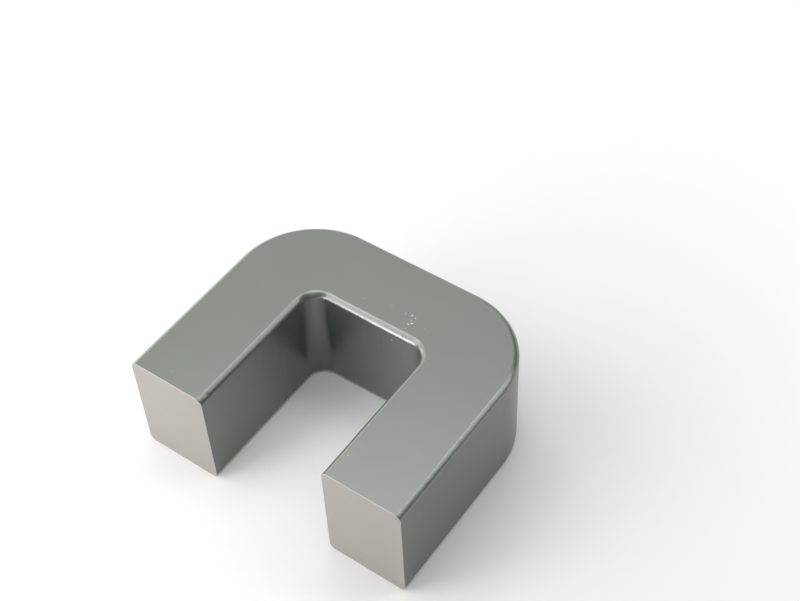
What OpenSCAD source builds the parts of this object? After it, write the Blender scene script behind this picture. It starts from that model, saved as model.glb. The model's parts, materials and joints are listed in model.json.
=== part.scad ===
// Ferrite U core: one pressed and sintered piece with two legs joined by a bow.
// It lies flat on its broad face. +X runs across the legs, +Y from the pole faces to the bow, +Z up.

/* [Overall] */
// Width across both legs
core_width = 79.7; // [60:0.1:120]
// Length from the pole faces to the back of the bow
core_length = 64.5; // [45:0.1:110]
// Thickness between the two broad faces
core_thickness = 31.3; // [12:0.1:50]

/* [Limbs] */
// Width of each leg, which is also the width of a pole face
leg_width = 22.1; // [12:0.1:32]
// Depth of the bow between the window and the back
bow_depth = 21.7; // [12:0.1:40]

/* [Rounds] */
// Radius of the two outer corners, where the legs turn into the bow
outer_corner_r = 22; // [6:0.5:36]
// Radius of the two inner corners of the winding window
window_corner_r = 5; // [1:0.5:15]
// Width of the pressed round along the long edges, on the face and on the wall
edge_w = 1.4; // [0.4:0.1:4]
// Angle at which that round meets the face and the wall, in degrees
edge_angle = 20; // [0:1:40]

/* [Hidden] */
$fn = 96;

// Winding window between the legs, open at the poles
window_width = core_width - 2 * leg_width;
window_depth = core_length - bow_depth;

// Radius of the edge round's arc, and how far its centre lies behind the round on both sides
edge_arc_r = edge_w / (cos(edge_angle) - sin(edge_angle));
edge_arc_back = edge_arc_r * sin(edge_angle);

// Strip of each broad face behind the edge round, over which the rim laps the plate
rim_lap = 2;
rim_width = edge_w + rim_lap;
plate_inset = edge_w + rim_lap / 2;

// How far the window's cutter stands out past the pole faces
cut_past = 1;

ferrite = [0.55, 0.58, 0.56];

// Quarter of a disc in the first quadrant
module quarter_disc(radius) {
    intersection() {
        circle(radius);
        square(2 * radius);
    }
}

// Flat shape that starts square on the X axis and ends in two rounded corners at its length
module round_ended(width, length, corner_r) {
    straight = length - corner_r;
    translate([-width / 2, 0]) square([width, straight]);
    translate([corner_r - width / 2, straight]) square([width - 2 * corner_r, corner_r]);
    for (side = [0, 1])
        mirror([side, 0]) translate([width / 2 - corner_r, straight]) quarter_disc(corner_r);
}

// Outline of the flat plate inside the rim
module plate_outline() {
    difference() {
        round_ended(core_width - 2 * plate_inset, core_length - plate_inset, outer_corner_r - plate_inset);
        translate([0, -cut_past])
            round_ended(
                window_width + 2 * plate_inset,
                window_depth + plate_inset + cut_past,
                window_corner_r + plate_inset
            );
    }
}

// Section of the edge round in the first quadrant: a flat arc that meets both sides at the edge angle
module edge_round() {
    intersection() {
        translate([-edge_arc_back, -edge_arc_back]) circle(edge_arc_r);
        square(2 * edge_w);
    }
}

// Section of the rim: a wall on the Y axis with the material behind it, rounded over at its foot and its top
module rim_section() {
    translate([-rim_width, 0]) square([rim_lap, core_thickness]);
    translate([-rim_width, edge_w]) square([rim_width, core_thickness - 2 * edge_w]);
    translate([-edge_w, core_thickness - edge_w]) edge_round();
    translate([-edge_w, edge_w]) mirror([0, 1]) edge_round();
}

// Straight rim along +Y, its wall facing +X
module rim_run(length) {
    translate([0, length, 0]) rotate([90, 0, 0]) linear_extrude(length) rim_section();
}

// Quarter turn of rim round an outside corner, from facing +X to facing +Y
module rim_outer_turn(radius) {
    rotate_extrude(angle = 90) translate([radius, 0]) rim_section();
}

// Quarter turn of rim round an inside corner, its wall facing the centre of the turn
module rim_inner_turn(radius) {
    rotate_extrude(angle = 90) translate([radius, 0]) mirror([1, 0]) rim_section();
}

// Rim round the outside: up each leg, round its corner and along the back
module outer_rim() {
    corner_x = core_width / 2 - outer_corner_r;
    corner_y = core_length - outer_corner_r;
    for (side = [0, 1])
        mirror([side, 0, 0]) {
            translate([core_width / 2, 0, 0]) rim_run(corner_y);
            translate([corner_x, corner_y, 0]) rim_outer_turn(outer_corner_r);
        }
    translate([corner_x, core_length, 0]) rotate([0, 0, 90]) rim_run(2 * corner_x);
}

// Rim round the winding window: up each leg, round its corner and along the bow
module window_rim() {
    corner_x = window_width / 2 - window_corner_r;
    corner_y = window_depth - window_corner_r;
    for (side = [0, 1])
        mirror([side, 0, 0]) {
            translate([window_width / 2, 0, 0]) mirror([1, 0, 0]) rim_run(corner_y);
            translate([corner_x, corner_y, 0]) rim_inner_turn(window_corner_r);
        }
    translate([-corner_x, window_depth, 0]) rotate([0, 0, -90]) rim_run(2 * corner_x);
}

module u_core() {
    color(ferrite) translate([0, -core_length / 2, 0]) {
        linear_extrude(core_thickness) plate_outline();
        outer_rim();
        window_rim();
    }
}

u_core();
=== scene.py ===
import json
import math
from collections import namedtuple

import bmesh
import bpy
from bpy.props import FloatProperty, FloatVectorProperty, PointerProperty
from mathutils import Matrix, Vector, noise


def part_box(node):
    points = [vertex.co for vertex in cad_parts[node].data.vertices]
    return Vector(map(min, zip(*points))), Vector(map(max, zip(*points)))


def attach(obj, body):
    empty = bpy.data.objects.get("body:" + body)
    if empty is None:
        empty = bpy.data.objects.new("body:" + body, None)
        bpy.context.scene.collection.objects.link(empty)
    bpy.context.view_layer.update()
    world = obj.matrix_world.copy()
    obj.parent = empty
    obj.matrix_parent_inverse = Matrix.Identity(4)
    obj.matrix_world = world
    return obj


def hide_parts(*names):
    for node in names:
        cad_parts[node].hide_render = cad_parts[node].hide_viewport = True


bl_info = {
    "name": "Ferrite U Core",
    "version": (1, 0, 0),
    "blender": (4, 5, 0),
    "location": "View3D > Sidebar > U Core",
    "description": "Models a sintered ferrite U core with ground pole faces and sets it in a small studio",
    "category": "Object",
}

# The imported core, which gives the sizes and places that this file starts from
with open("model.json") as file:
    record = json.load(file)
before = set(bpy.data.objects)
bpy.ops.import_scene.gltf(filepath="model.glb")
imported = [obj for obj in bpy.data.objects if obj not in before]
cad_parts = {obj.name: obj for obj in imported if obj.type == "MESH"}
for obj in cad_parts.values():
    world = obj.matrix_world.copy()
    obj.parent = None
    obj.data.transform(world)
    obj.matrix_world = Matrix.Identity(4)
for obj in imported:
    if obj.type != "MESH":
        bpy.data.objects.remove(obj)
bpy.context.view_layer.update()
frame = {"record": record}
CORE_LOW, CORE_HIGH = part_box("u_core")
MOUNT_AT = {mount["name"]: Vector(mount["pos_m"]) for mount in frame["record"]["mounts"]}

MM = 0.001
TOP_MM = CORE_HIGH.z / MM

# Places nearer than this count as touching
TOUCHING = 0.001 * MM

# A face counts as flat when its normal has at least this share along one axis
FLAT = 0.999

# An edge stays sharp when it turns by more than this share of the pressed round's angle
CREASE_SHARE = 0.6

# Facets of the rounds
OUTER_CORNER_STEPS = 96
WINDOW_CORNER_STEPS = 24
EDGE_ROUND_STEPS = 10
POLE_EDGE_STEPS = 2

# Straight edges longer than this are divided, so that they can carry nicks
LONG_EDGE = 5 * MM
NICK_SPACING = 0.3 * MM

# A patch of the top face next to the window's end has a finer mesh, for its chips
PATCH_LEFT, PATCH_RIGHT, PATCH_BACK = 5.5 * MM, 11.5 * MM, 18.2 * MM
PATCH_CUTS = 59

# Wear of the edges: depth, noise cells a millimetre, and the noise from -1 to 1 at which it starts
Wear = namedtuple("Wear", "depth scale start")
EDGE_RIPPLE = Wear(0.01 * MM, 0.3, -1)
EDGE_NICKS = Wear(0.1 * MM, 0.9, 0.35)
POLE_NICKS = Wear(0.07 * MM, 1.7, 0.1)

# Chips: depth, reach as a share of the mark's half size, and the raggedness of the rim with its noise cells
# a millimetre
CHIP_DEPTH = 0.12 * MM
CHIP_SPREAD = 1.2
CHIP_RAG, CHIP_RAG_SCALE = 0.35, 5

# Marks on the skin: place, length and width in millimetres, turn in degrees, and how pale the mark is
Fleck = namedtuple("Fleck", "x y z length width turn paleness")
CHIPS = (
    Fleck(8.4, 17.2, TOP_MM, 0.75, 0.45, 35, 0.85),
    Fleck(9.6, 16.9, TOP_MM, 0.45, 0.4, 0, 0.95),
    Fleck(9.2, 15.7, TOP_MM, 0.6, 0.32, -56, 0.7),
    Fleck(9.8, 15.1, TOP_MM, 0.8, 0.34, 42, 1.0),
    Fleck(9.2, 14.4, TOP_MM, 0.75, 0.4, 30, 1.0),
    Fleck(9.4, 12.9, TOP_MM, 0.5, 0.35, 20, 0.5),
    Fleck(9.4, 11.6, TOP_MM - 0.1, 0.45, 0.35, 0, 0.5),
    Fleck(10.1, 10.9, TOP_MM - 0.6, 0.5, 0.4, 90, 0.1),
)
SPECKS = (
    Fleck(20.2, -25.1, TOP_MM, 0.36, 0.36, 0, 0.7),
    Fleck(13.4, 15.5, TOP_MM, 0.4, 0.3, 0, 0.2),
    Fleck(6.7, 16.9, TOP_MM, 0.9, 0.5, -56, 0.22),
    Fleck(-29.5, -29.0, TOP_MM, 0.45, 0.4, 0, 0.18),
    Fleck(6.85, 10.55, 27.55, 0.48, 0.48, 0, 0.85),
    Fleck(-4.7, 15.3, TOP_MM, 1.6, 0.3, 35, 0.14),
    Fleck(2.3, 17.1, TOP_MM, 1.3, 0.35, 30, 0.1),
    Fleck(-5.0, 12.7, TOP_MM, 0.5, 0.4, 0, 0.22),
)

# Soft rim of a mark, from nothing to full, as shares of its half length and half width
FLECK_RIM = (1.1, 0.6)

# Slots of the core's two finishes
AS_FIRED, GROUND = 0, 1

# Patterns of the finishes: noise cells a millimetre along each axis, octaves, and the shares by which they
# change the tone, the roughness and the height of the surface
Pattern = namedtuple("Pattern", "cells octaves tone roughness height")
SKIN_MOTTLE = Pattern((0.06, 0.06, 0.06), 3, 0.2, 0.05, 0)
SKIN_GRAIN = Pattern((2.2, 2.2, 2.2), 2, 0.12, 0.02, 1)
DIE_MARKS = Pattern((2.4, 2.4, 0.05), 3, 0.4, 0, 1)
POLE_MOTTLE = Pattern((0.09, 0.09, 0.09), 3, 0.12, 0, 0)
POLE_GRAIN = Pattern((4.0, 4.0, 4.0), 2, 0.1, 0, 0.4)
WHEEL_MARKS = Pattern((0.12, 1.0, 6.0), 3, 0.1, 0.1, 1)
PATTERN_DEPTH = 0.004 * MM

# Steepness runs from 0 on the broad faces to 1 on the walls. Over these values the skin counts as wall: it
# carries the die's marks and is darkened by a share, painted shade for the dimmer light on the walls
# together with the die's burnish
WALL_STEEPNESS = (0.7, 0.95)
WALL_SHADE_AND_BURNISH = 0.5

# The die's marks fade out from this height down to the foot of the wall, in millimetres
DIE_MARKS_FULL = 0.8 * TOP_MM

# Steepness at which the painted highlight along the top of the pressed rounds, a pale line for the sheen
# they catch, sets in and fades out
PAINTED_HIGHLIGHT_IN, PAINTED_HIGHLIGHT_OUT = (0.04, 0.06), (0.2, 0.1)

# Share of a normal along Y over which a pole face turns into its broken edge, and how pale that edge is
BROKEN_EDGE_TURN = (0.97, 0.85)
BROKEN_EDGE_PALENESS = 0.45

# How much rougher the marks are than the skin
MARK_ROUGHENING = 0.2

# Floor: half its size, its drop under the core, its roughness, the light it gives at the core where it is
# seen, and the distances in millimetres over which its glow grows
FLOOR_HALF = 6.0
FLOOR_DROP = 0.02 * MM
FLOOR_ROUGHNESS = 0.6
FLOOR_GLOW_NEAR = 0.03
FLOOR_GLOW_REACH = (40, 400)

# Camera: sensor and lens in millimetres, place and aim, and roll in degrees
CAMERA_SENSOR, CAMERA_LENS = 36, 65.945
CAMERA_PLACE = Vector((149.06, -169.865, 304.09)) * MM
CAMERA_AIM = Vector((-5.29, 30.43, 15.65)) * MM
CAMERA_ROLL = -3.08

# Softboxes: bearing from +X and elevation in degrees, distance, width and height in metres, and brightness
Softbox = namedtuple("Softbox", "bearing elevation distance width height level")
SOFTBOXES = {
    "key": Softbox(235, 18, 0.3, 0.15, 0.2, 2.3),
    "low": Softbox(250, 6, 0.4, 0.25, 0.085, 10.0),
    "fill": Softbox(225, 45, 0.5, 0.26, 0.32, 2.2),
    "high_left": Softbox(205, 56, 0.5, 0.3, 0.35, 0.9),
    "side": Softbox(170, 14, 0.5, 0.5, 0.25, 1.3),
    "near_side": Softbox(194, 13, 0.4, 0.24, 0.16, 3.2),
    "front": Softbox(316, 42, 0.5, 0.25, 0.3, 0.6),
    "overhead": Softbox(115, 70, 0.5, 0.4, 0.15, 2.1),
    "zenith": Softbox(300, 80, 0.5, 0.25, 0.25, 2.5),
    "rear": Softbox(40, 40, 0.5, 0.22, 0.5, 2.2),
    "back": Softbox(128, 48, 0.5, 0.4, 0.4, 0.97),
}


class CoreShape(bpy.types.PropertyGroup):
    """Sizes of the core inside its box."""

    leg_width: FloatProperty(
        name="Leg width",
        description="Width of each leg, which is also the width of its pole face",
        default=2 * (MOUNT_AT["left_pole"].x - CORE_LOW.x),
        min=1 * MM,
        unit="LENGTH",
    )
    bow_depth: FloatProperty(
        name="Bow depth",
        description="Depth of the bow between the winding window and the back",
        default=2 * (CORE_HIGH.y - MOUNT_AT["base"].y),
        min=1 * MM,
        unit="LENGTH",
    )
    outer_corner_r: FloatProperty(
        name="Outer corner radius",
        description="Radius of the two corners where the legs turn into the bow",
        default=22 * MM,
        min=2 * MM,
        unit="LENGTH",
    )
    window_corner_r: FloatProperty(
        name="Window corner radius",
        description="Radius of the two inner corners of the winding window",
        default=5 * MM,
        min=0.5 * MM,
        unit="LENGTH",
    )
    edge_w: FloatProperty(
        name="Edge width",
        description="Width of the pressed round along the long edges, on the face and on the wall",
        default=1.4 * MM,
        min=0.1 * MM,
        unit="LENGTH",
    )
    edge_angle: FloatProperty(
        name="Edge angle",
        description="Angle at which the pressed round meets the face and the wall",
        default=math.radians(20),
        min=0,
        max=math.radians(40),
        subtype="ANGLE",
    )
    pole_edge_r: FloatProperty(
        name="Pole edge break",
        description="Width of the fine broken edge round each ground pole face",
        default=0.12 * MM,
        min=0.01 * MM,
        unit="LENGTH",
    )


class CoreFinish(bpy.types.PropertyGroup):
    """Colours and gloss of the core."""

    fired_colour: FloatVectorProperty(
        name="As-fired colour",
        description="Colour of the satin skin that the core has from the kiln",
        default=(0.099, 0.115, 0.093),
        subtype="COLOR",
        min=0,
        max=1,
    )
    fired_roughness: FloatProperty(
        name="As-fired roughness",
        description="Roughness of the skin",
        default=0.3,
        subtype="FACTOR",
        min=0,
        max=1,
    )
    ground_colour: FloatVectorProperty(
        name="Ground colour",
        description="Colour of the ground pole faces",
        default=(0.257, 0.239, 0.211),
        subtype="COLOR",
        min=0,
        max=1,
    )
    ground_roughness: FloatProperty(
        name="Ground roughness",
        description="Roughness of the ground pole faces",
        default=0.38,
        subtype="FACTOR",
        min=0,
        max=1,
    )
    chip_colour: FloatVectorProperty(
        name="Chip colour",
        description="Colour of the fresh ferrite in chips and flecks",
        default=(0.66, 0.67, 0.64),
        subtype="COLOR",
        min=0,
        max=1,
    )
    refraction: FloatProperty(
        name="Refractive index",
        description="Refractive index of the ferrite, which sets its sheen",
        default=2.31,
        min=1,
        max=3,
    )


class StudioLight(bpy.types.PropertyGroup):
    """Floor and light of the studio."""

    floor_colour: FloatVectorProperty(
        name="Floor",
        description="Colour of the floor",
        default=(0.9, 0.9, 0.9),
        subtype="COLOR",
        min=0,
        max=1,
    )
    floor_glow: FloatProperty(
        name="Floor glow",
        description="How far the floor away from the core is lifted towards white where it is seen",
        default=0.6,
        subtype="FACTOR",
        min=0,
        max=1,
    )
    sky_level: FloatProperty(
        name="Sky",
        description="Brightness of the even light from all round",
        default=0.03,
        min=0,
    )
    lamp_level: FloatProperty(
        name="Lamps",
        description="Brightness of all the softboxes, as a share of their own",
        default=1.0,
        min=0,
    )


class Value:
    """A shader socket on which arithmetic adds Math nodes."""

    def __init__(self, graph, socket):
        self.graph = graph
        self.socket = socket

    def math(self, operation, *inputs):
        return self.graph.node("ShaderNodeMath", {"operation": operation}, inputs)

    def __add__(self, other):
        return self.math("ADD", self, other)

    __radd__ = __add__

    def __mul__(self, other):
        return self.math("MULTIPLY", self, other)

    __rmul__ = __mul__

    def __sub__(self, other):
        return self.math("SUBTRACT", self, other)

    def __rsub__(self, other):
        return self.math("SUBTRACT", other, self)

    def __or__(self, other):
        return self.math("MAXIMUM", self, other)

    def __abs__(self):
        return self.math("ABSOLUTE", self)


class Graph:
    """Makes the nodes of one material or world."""

    def __init__(self, tree):
        self.tree = tree
        tree.nodes.clear()

    def node(self, kind, settings=None, values=(), output=0):
        """Adds a node, sets it up, fills or links its sockets and returns one of its outputs."""
        made = self.tree.nodes.new(kind)
        for name, setting in (settings or {}).items():
            setattr(made, name, setting)
        pairs = values.items() if isinstance(values, dict) else enumerate(values)
        for key, value in pairs:
            socket = self.find(made.inputs, key)
            if isinstance(value, Value):
                self.tree.links.new(value.socket, socket)
            else:
                socket.default_value = value
        return Value(self, self.find(made.outputs, output)) if made.outputs else None

    @staticmethod
    def find(sockets, key):
        """The socket at a place in the list, or the one in use that has a name."""
        if isinstance(key, int):
            return sockets[key]
        return next(socket for socket in sockets if socket.name == key and socket.enabled)

    def place(self):
        """The place on the piece in millimetres."""
        place = self.node("ShaderNodeTexCoord", output="Object")
        return self.scaled(place, 1 / MM)

    def scaled(self, vector, factor):
        """A vector or colour times a number."""
        return self.node("ShaderNodeVectorMath", {"operation": "SCALE"}, {0: vector, "Scale": factor})

    def length(self, vector):
        return self.node("ShaderNodeVectorMath", {"operation": "LENGTH"}, (vector,), "Value")

    def along(self, vector, axis):
        """The part of a vector along an axis."""
        return self.node("ShaderNodeSeparateXYZ", values=(vector,), output=axis)

    def facing(self, axis):
        """How far the surface faces along an axis, from -1 to 1."""
        return self.along(self.node("ShaderNodeNewGeometry", output="Normal"), axis)

    def pattern(self, place, pattern):
        """Soft noise from -0.5 to 0.5."""
        cells = self.node("ShaderNodeVectorMath", {"operation": "MULTIPLY"}, (place, pattern.cells))
        values = {"Vector": cells, "Scale": 1.0, "Detail": pattern.octaves}
        return self.node("ShaderNodeTexNoise", values=values) - 0.5

    def mix(self, factor, low, high):
        """A colour between low and high."""
        values = {"Factor": factor, "A": low, "B": high}
        return self.node("ShaderNodeMix", {"data_type": "RGBA"}, values, "Result")

    def smooth(self, value, low, high):
        """A smooth step from 0 at low to 1 at high."""
        values = {"Value": value, "From Min": low, "From Max": high}
        return self.node("ShaderNodeMapRange", {"interpolation_type": "SMOOTHSTEP"}, values)

    def fleck(self, place, fleck):
        """How pale one oval mark is at a place."""
        values = {
            "Vector": place,
            "Location": (fleck.x, fleck.y, fleck.z),
            "Rotation": (0, 0, math.radians(fleck.turn)),
            "Scale": (fleck.length / 2, fleck.width / 2, fleck.width / 2),
        }
        local = self.node("ShaderNodeMapping", {"vector_type": "TEXTURE"}, values)
        return self.smooth(self.length(local), *FLECK_RIM) * fleck.paleness

    def bump(self, height):
        """The normal of a surface that the patterns raise and sink."""
        values = {"Distance": PATTERN_DEPTH, "Height": height}
        return self.node("ShaderNodeBump", values=values, output="Normal")

    def seen(self):
        """1 on what the camera sees, straight or in a reflection or through glass."""
        kinds = ("Is Camera Ray", "Is Glossy Ray", "Is Transmission Ray")
        camera, glossy, through = (self.node("ShaderNodeLightPath", output=kind) for kind in kinds)
        return camera | glossy | through


def rgba(colour):
    return (*colour, 1.0)


def new_material(name):
    material = bpy.data.materials.new(name)
    material.use_nodes = True
    return material, Graph(material.node_tree)


def fired_material(finish):
    """The satin skin from the kiln: dark green-grey, fine of grain and drawn along the walls of the die,
    with a painted highlight along the tops of the rounds and painted shade that darkens the walls.
    """
    material, graph = new_material("as_fired_ferrite")
    place = graph.place()
    mottle = graph.pattern(place, SKIN_MOTTLE)
    grain = graph.pattern(place, SKIN_GRAIN)
    steepness = 1 - abs(graph.facing("Z"))
    wall_mask = graph.smooth(steepness, *WALL_STEEPNESS)
    raised = graph.smooth(graph.along(place, "Z"), 0, DIE_MARKS_FULL)
    drawn = graph.pattern(place, DIE_MARKS) * wall_mask * raised
    # A pale line along the top of the pressed rounds: a painted highlight for the sheen they catch
    painted_highlight = graph.smooth(steepness, *PAINTED_HIGHLIGHT_OUT) * graph.smooth(steepness, *PAINTED_HIGHLIGHT_IN)
    marks = graph.fleck(place, CHIPS[0])
    for mark in CHIPS[1:] + SPECKS:
        marks = marks | graph.fleck(place, mark)
    tone = 1 + mottle * SKIN_MOTTLE.tone + grain * SKIN_GRAIN.tone + drawn * DIE_MARKS.tone
    # The skin darkens on the walls: painted shade, together with the die's burnish
    tone = tone + painted_highlight - wall_mask * WALL_SHADE_AND_BURNISH
    skin = graph.scaled(tuple(finish.fired_colour), tone)
    roughness = finish.fired_roughness + mottle * SKIN_MOTTLE.roughness + grain * SKIN_GRAIN.roughness
    shader = graph.node(
        "ShaderNodeBsdfPrincipled",
        values={
            "Base Color": graph.mix(marks, skin, rgba(finish.chip_colour)),
            "Roughness": roughness + marks * MARK_ROUGHENING,
            "IOR": finish.refraction,
            "Normal": graph.bump(grain * SKIN_GRAIN.height + drawn * DIE_MARKS.height),
        },
    )
    graph.node("ShaderNodeOutputMaterial", values={"Surface": shader})
    return material


def ground_material(finish):
    """The ground pole faces: paler and warmer, with fine wheel marks across them and a paler broken edge."""
    material, graph = new_material("ground_ferrite")
    place = graph.place()
    mottle = graph.pattern(place, POLE_MOTTLE)
    grain = graph.pattern(place, POLE_GRAIN)
    wheel = graph.pattern(place, WHEEL_MARKS)
    tone = 1 + mottle * POLE_MOTTLE.tone + grain * POLE_GRAIN.tone + wheel * WHEEL_MARKS.tone
    face = graph.scaled(tuple(finish.ground_colour), tone)
    broken = graph.smooth(abs(graph.facing("Y")), *BROKEN_EDGE_TURN)
    shader = graph.node(
        "ShaderNodeBsdfPrincipled",
        values={
            "Base Color": graph.mix(broken * BROKEN_EDGE_PALENESS, face, rgba(finish.chip_colour)),
            "Roughness": finish.ground_roughness + wheel * WHEEL_MARKS.roughness,
            "IOR": finish.refraction,
            "Normal": graph.bump(grain * POLE_GRAIN.height + wheel * WHEEL_MARKS.height),
        },
    )
    graph.node("ShaderNodeOutputMaterial", values={"Surface": shader})
    return material


def floor_material(studio):
    """White paper that keeps the shadow of the core and is lifted towards white away from it."""
    material, graph = new_material("floor_paper")
    away = graph.smooth(graph.length(graph.place()), *FLOOR_GLOW_REACH)
    glow = graph.seen() * (FLOOR_GLOW_NEAR + away * studio.floor_glow)
    shader = graph.node(
        "ShaderNodeBsdfPrincipled",
        values={
            "Base Color": rgba(studio.floor_colour),
            "Roughness": FLOOR_ROUGHNESS,
            "Emission Color": graph.mix(glow, rgba((0, 0, 0)), rgba((1, 1, 1))),
            "Emission Strength": 1.0,
        },
    )
    graph.node("ShaderNodeOutputMaterial", values={"Surface": shader})
    return material


def new_piece(name, bm, materials):
    """Makes an object at the origin from a bmesh."""
    mesh = bpy.data.meshes.new(name)
    bm.to_mesh(mesh)
    bm.free()
    for material in materials:
        mesh.materials.append(material)
    piece = bpy.data.objects.new(name, mesh)
    bpy.context.scene.collection.objects.link(piece)
    return piece


def bevel(bm, geom, affect, radius, steps):
    bmesh.ops.bevel(
        bm,
        geom=geom,
        offset=radius,
        offset_type="OFFSET",
        affect=affect,
        segments=steps,
        profile=0.5,
        material=-1,
    )


def u_slab(shape):
    """The U as a flat face with its four corners rounded, raised to the core's thickness."""
    window_left = CORE_LOW.x + shape.leg_width
    window_right = CORE_HIGH.x - shape.leg_width
    window_end = CORE_HIGH.y - shape.bow_depth
    outline = (
        (CORE_LOW.x, CORE_LOW.y),
        (window_left, CORE_LOW.y),
        (window_left, window_end),
        (window_right, window_end),
        (window_right, CORE_LOW.y),
        (CORE_HIGH.x, CORE_LOW.y),
        (CORE_HIGH.x, CORE_HIGH.y),
        (CORE_LOW.x, CORE_HIGH.y),
    )
    bm = bmesh.new()
    corners = [bm.verts.new((x, y, CORE_LOW.z)) for x, y in outline]
    bm.faces.new(corners)
    bevel(bm, corners[2:4], "VERTICES", shape.window_corner_r, WINDOW_CORNER_STEPS)
    bevel(bm, corners[6:8], "VERTICES", shape.outer_corner_r, OUTER_CORNER_STEPS)
    raised = bmesh.ops.extrude_face_region(bm, geom=bm.faces[:])
    verts = [item for item in raised["geom"] if isinstance(item, bmesh.types.BMVert)]
    bmesh.ops.translate(bm, vec=(0, 0, CORE_HIGH.z - CORE_LOW.z), verts=verts)
    bmesh.ops.recalc_face_normals(bm, faces=bm.faces[:])
    return bm


def near_pole(edge, reach):
    """Whether an edge lies within reach of the plane of the pole faces."""
    return all(vert.co.y < CORE_LOW.y + reach for vert in edge.verts)


def pole_edge_reach(shape):
    """How far back from the pole faces their broken edges count."""
    return shape.pole_edge_r + TOUCHING


def is_level(edge):
    first, second = edge.verts
    return abs(first.co.z - second.co.z) < TOUCHING


def flatten_rounds(bm, shape):
    """Turns the quarter rounds into the press's wider arc, which meets the faces at an angle."""
    width, angle = shape.edge_w, shape.edge_angle
    arc_r = width / (math.cos(angle) - math.sin(angle))
    for vert in bm.verts:
        low, high = vert.co.z - CORE_LOW.z, CORE_HIGH.z - vert.co.z
        depth = min(low, high)
        if depth >= width:
            continue
        turn = math.acos(1 - max(depth, 0) / width)
        arc_turn = angle + turn * (1 - 4 * angle / math.pi)
        outwards = arc_r * (math.sin(arc_turn) - math.sin(angle)) - width * math.sin(turn)
        upwards = arc_r * (math.cos(arc_turn) - math.cos(angle)) + width * (1 - math.cos(turn))
        out = Vector((vert.normal.x, vert.normal.y, 0))
        if vert.co.y < CORE_LOW.y + TOUCHING:
            out.y = 0
        vert.co += outwards * out.normalized()
        vert.co.z += upwards if high < low else -upwards


def round_edges(bm, shape):
    """Rolls the long edges over, then breaks the sharp edges round the pole faces."""
    long_edges = [edge for edge in bm.edges if is_level(edge) and not near_pole(edge, TOUCHING)]
    bevel(bm, long_edges, "EDGES", shape.edge_w, EDGE_ROUND_STEPS)
    bm.normal_update()
    flatten_rounds(bm, shape)
    pole_edges = [edge for edge in bm.edges if near_pole(edge, TOUCHING)]
    bevel(bm, pole_edges, "EDGES", shape.pole_edge_r, POLE_EDGE_STEPS)
    bm.normal_update()


def cut(bm, faces, point, normal):
    """Cuts faces along a plane."""
    edges = list(dict.fromkeys(edge for face in faces for edge in face.edges))
    verts = list(dict.fromkeys(vert for face in faces for vert in face.verts))
    bmesh.ops.bisect_plane(bm, geom=[*verts, *edges, *faces], plane_co=point, plane_no=normal)


def in_patch(place):
    """Whether a place is in the strip across the bow that holds the finer patch."""
    return PATCH_LEFT - TOUCHING < place.x < PATCH_RIGHT + TOUCHING


def cut_patch(bm):
    """Cuts the strip off along both its sides, and its top face at the back of the patch."""
    for x in (PATCH_LEFT, PATCH_RIGHT):
        cut(bm, bm.faces[:], (x, 0, 0), (1, 0, 0))
    bm.normal_update()
    tops = [face for face in bm.faces if face.normal.z > FLAT]
    strip = [face for face in tops if all(in_patch(vert.co) for vert in face.verts)]
    cut(bm, strip, (0, PATCH_BACK, 0), (0, 1, 0))
    bm.normal_update()


def is_round(face):
    """Whether a face is a facet of a round, and not one of the flat faces."""
    return max(abs(part) for part in face.normal) < FLAT


def facing_edges(edge, wanted):
    """An edge and those that face it across the facets of a round, as far as they are wanted."""
    ring, ends = {edge: True}, [edge]
    while ends:
        for loop in ends.pop().link_loops:
            facing = loop.link_loop_next.link_loop_next.edge
            if is_round(loop.face) and facing in wanted and facing not in ring:
                ring[facing] = True
                ends.append(facing)
    return list(ring)


def divide(bm, shape):
    """Divides the long edges of the rounds and the patch of the top face into short steps."""
    patch_edges, run_edges = [], {}
    for edge in bm.edges:
        if edge.calc_length() < LONG_EDGE:
            continue
        if is_level(edge) and all(in_patch(vert.co) for vert in edge.verts):
            across = abs(edge.verts[0].co.x - edge.verts[1].co.x) > LONG_EDGE
            beside = all(vert.co.y < PATCH_BACK + TOUCHING for vert in edge.verts)
            if across or (beside and edge.verts[0].co.z > CORE_HIGH.z - TOUCHING):
                patch_edges.append(edge)
        elif is_level(edge) or near_pole(edge, pole_edge_reach(shape)):
            if any(is_round(face) for face in edge.link_faces):
                run_edges[edge] = True
    rings = []
    while run_edges:
        ring = facing_edges(next(iter(run_edges)), run_edges)
        steps = round(max(edge.calc_length() for edge in ring) / NICK_SPACING)
        rings.append((ring, steps - 1))
        for edge in ring:
            del run_edges[edge]
    bmesh.ops.subdivide_edges(bm, edges=patch_edges, cuts=PATCH_CUTS, use_grid_fill=True)
    for ring, cuts in rings:
        bmesh.ops.subdivide_edges(bm, edges=ring, cuts=cuts, use_grid_fill=True)
    bm.normal_update()


def keep_creases(bm, shape):
    """Keeps the edges sharp where the pressed rounds meet the faces and the walls."""
    for edge in bm.edges:
        folded = edge.calc_face_angle() > CREASE_SHARE * shape.edge_angle
        if folded and not near_pole(edge, pole_edge_reach(shape)):
            edge.smooth = False


def chip_share(place, chip):
    """The share of its depth that a chip has at a place, with a ragged rim."""
    offset = place / MM - Vector((chip.x, chip.y, chip.z))
    offset.rotate(Matrix.Rotation(math.radians(-chip.turn), 3, "Z"))
    reach = Vector((2 * offset.x / chip.length, 2 * offset.y / chip.width, 2 * offset.z / chip.width)).length
    return max(0.0, CHIP_SPREAD - reach + CHIP_RAG * noise.noise(place * CHIP_RAG_SCALE / MM))


def worn(place, wear):
    """How deep one kind of wear is at a place in millimetres."""
    return wear.depth * max(0.0, noise.noise(place * wear.scale) - wear.start)


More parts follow.
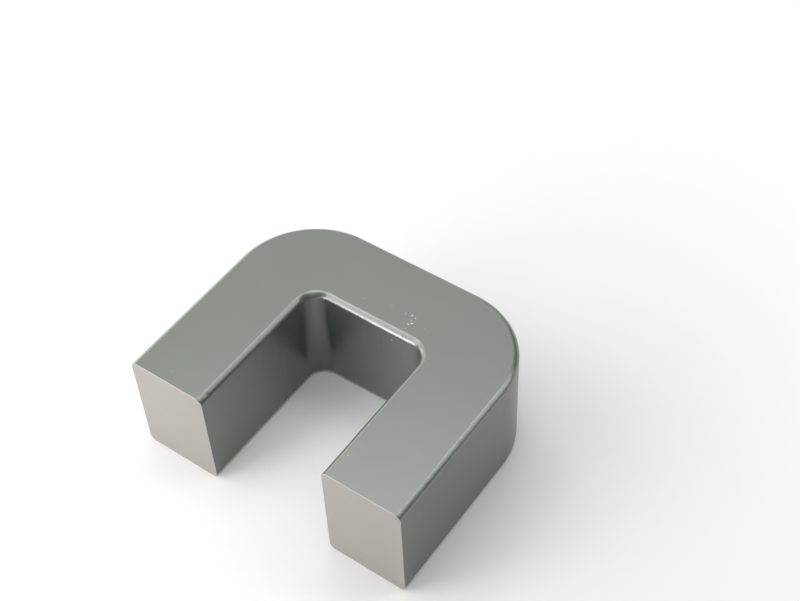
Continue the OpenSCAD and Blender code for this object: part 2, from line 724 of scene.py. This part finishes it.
def edge_wear(vert, shape):
    """How far a point on a rounded or broken edge has worn in."""
    place, normal = vert.co / MM, vert.normal
    if vert.co.y < CORE_LOW.y + pole_edge_reach(shape):
        corner = 2 * abs(normal.y) * math.hypot(normal.x, normal.z)
        return corner * worn(place, POLE_NICKS)
    roll = 2 * abs(normal.z) * math.hypot(normal.x, normal.y)
    return roll * (worn(place, EDGE_RIPPLE) + worn(place, EDGE_NICKS))


def wear_down(bm, shape):
    """Sinks the chips and the worn edges into the core."""
    depths = {}
    for vert in bm.verts:
        chips = sum(chip_share(vert.co, chip) for chip in CHIPS) if in_patch(vert.co) else 0
        depths[vert] = min(chips, 1) * CHIP_DEPTH + edge_wear(vert, shape)
    for vert, depth in depths.items():
        vert.co -= vert.normal * depth


def finish_faces(bm, shape):
    """Gives the pole faces and their broken edges the ground finish and shades everything smooth."""
    for face in bm.faces:
        face.smooth = True
        ground = face.calc_center_median().y < CORE_LOW.y + shape.pole_edge_r
        face.material_index = GROUND if ground else AS_FIRED


class UCORE_OT_core(bpy.types.Operator):
    """Model the ferrite core"""

    bl_idname = "ucore.core"
    bl_label = "Ferrite core"

    def execute(self, context):
        shape = context.scene.core_shape
        finish = context.scene.core_finish
        bm = u_slab(shape)
        round_edges(bm, shape)
        cut_patch(bm)
        divide(bm, shape)
        keep_creases(bm, shape)
        wear_down(bm, shape)
        finish_faces(bm, shape)
        piece = new_piece("ferrite_u_core", bm, [fired_material(finish), ground_material(finish)])
        piece.modifiers.new("even_normals", "WEIGHTED_NORMAL").keep_sharp = True
        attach(piece, "root")
        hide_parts("u_core")
        return {"FINISHED"}


def add_softbox(name, box, share):
    """A softbox that faces the middle of the core and shines with a share of its brightness."""
    turn, rise = math.radians(box.bearing), math.radians(box.elevation)
    aim = (CORE_LOW + CORE_HIGH) / 2
    away = Vector((math.cos(turn) * math.cos(rise), math.sin(turn) * math.cos(rise), math.sin(rise)))
    lamp = bpy.data.lights.new(name, "AREA")
    lamp.shape = "RECTANGLE"
    lamp.size, lamp.size_y = box.width, box.height
    lamp.energy = math.pi * box.width * box.height * box.level * share
    softbox = bpy.data.objects.new(name, lamp)
    softbox.location = aim + box.distance * away
    softbox.rotation_euler = away.to_track_quat("Z", "Y").to_euler()
    softbox.visible_camera = False
    bpy.context.scene.collection.objects.link(softbox)


def add_camera():
    """The camera at the photograph's place, aim, roll and lens."""
    data = bpy.data.cameras.new("camera")
    data.sensor_width = CAMERA_SENSOR
    data.lens = CAMERA_LENS
    camera = bpy.data.objects.new("camera", data)
    turn = (CAMERA_AIM - CAMERA_PLACE).to_track_quat("-Z", "Y").to_matrix().to_4x4()
    roll = Matrix.Rotation(math.radians(CAMERA_ROLL), 4, "Z")
    camera.matrix_world = Matrix.Translation(CAMERA_PLACE) @ turn @ roll
    bpy.context.scene.collection.objects.link(camera)
    bpy.context.scene.camera = camera


def add_floor(studio):
    bm = bmesh.new()
    bmesh.ops.create_grid(bm, x_segments=1, y_segments=1, size=FLOOR_HALF)
    bmesh.ops.translate(bm, vec=(0, 0, CORE_LOW.z - FLOOR_DROP), verts=bm.verts[:])
    new_piece("floor", bm, [floor_material(studio)])


def add_sky(studio):
    """An even sky."""
    world = bpy.data.worlds.new("studio")
    bpy.context.scene.world = world
    world.use_nodes = True
    graph = Graph(world.node_tree)
    sky = graph.node("ShaderNodeBackground", values={"Color": rgba((1, 1, 1)), "Strength": studio.sky_level})
    graph.node("ShaderNodeOutputWorld", values={"Surface": sky})


class UCORE_OT_stage(bpy.types.Operator):
    """Set up the floor, the light and the camera"""

    bl_idname = "ucore.stage"
    bl_label = "Studio"

    def execute(self, context):
        studio = context.scene.studio_light
        context.scene.view_settings.view_transform = "Standard"
        add_floor(studio)
        add_sky(studio)
        for name, box in SOFTBOXES.items():
            add_softbox(name, box, studio.lamp_level)
        add_camera()
        return {"FINISHED"}


class UCORE_PT_panel(bpy.types.Panel):
    """Sizes, finishes and light of the core"""

    bl_label = "U Core"
    bl_space_type = "VIEW_3D"
    bl_region_type = "UI"
    bl_category = "U Core"

    def draw(self, context):
        for group in (context.scene.core_shape, context.scene.core_finish, context.scene.studio_light):
            box = self.layout.box()
            for name in group.__annotations__:
                box.prop(group, name)
        for operator in (UCORE_OT_core, UCORE_OT_stage):
            self.layout.operator(operator.bl_idname)


CLASSES = (CoreShape, CoreFinish, StudioLight, UCORE_OT_core, UCORE_OT_stage, UCORE_PT_panel)


def register():
    for item in CLASSES:
        bpy.utils.register_class(item)
    bpy.types.Scene.core_shape = PointerProperty(type=CoreShape)
    bpy.types.Scene.core_finish = PointerProperty(type=CoreFinish)
    bpy.types.Scene.studio_light = PointerProperty(type=StudioLight)


def unregister():
    del bpy.types.Scene.studio_light
    del bpy.types.Scene.core_finish
    del bpy.types.Scene.core_shape
    for item in reversed(CLASSES):
        bpy.utils.unregister_class(item)


def main():
    register()
    bpy.ops.ucore.core()
    bpy.ops.ucore.stage()


if __name__ == "__main__":
    main()
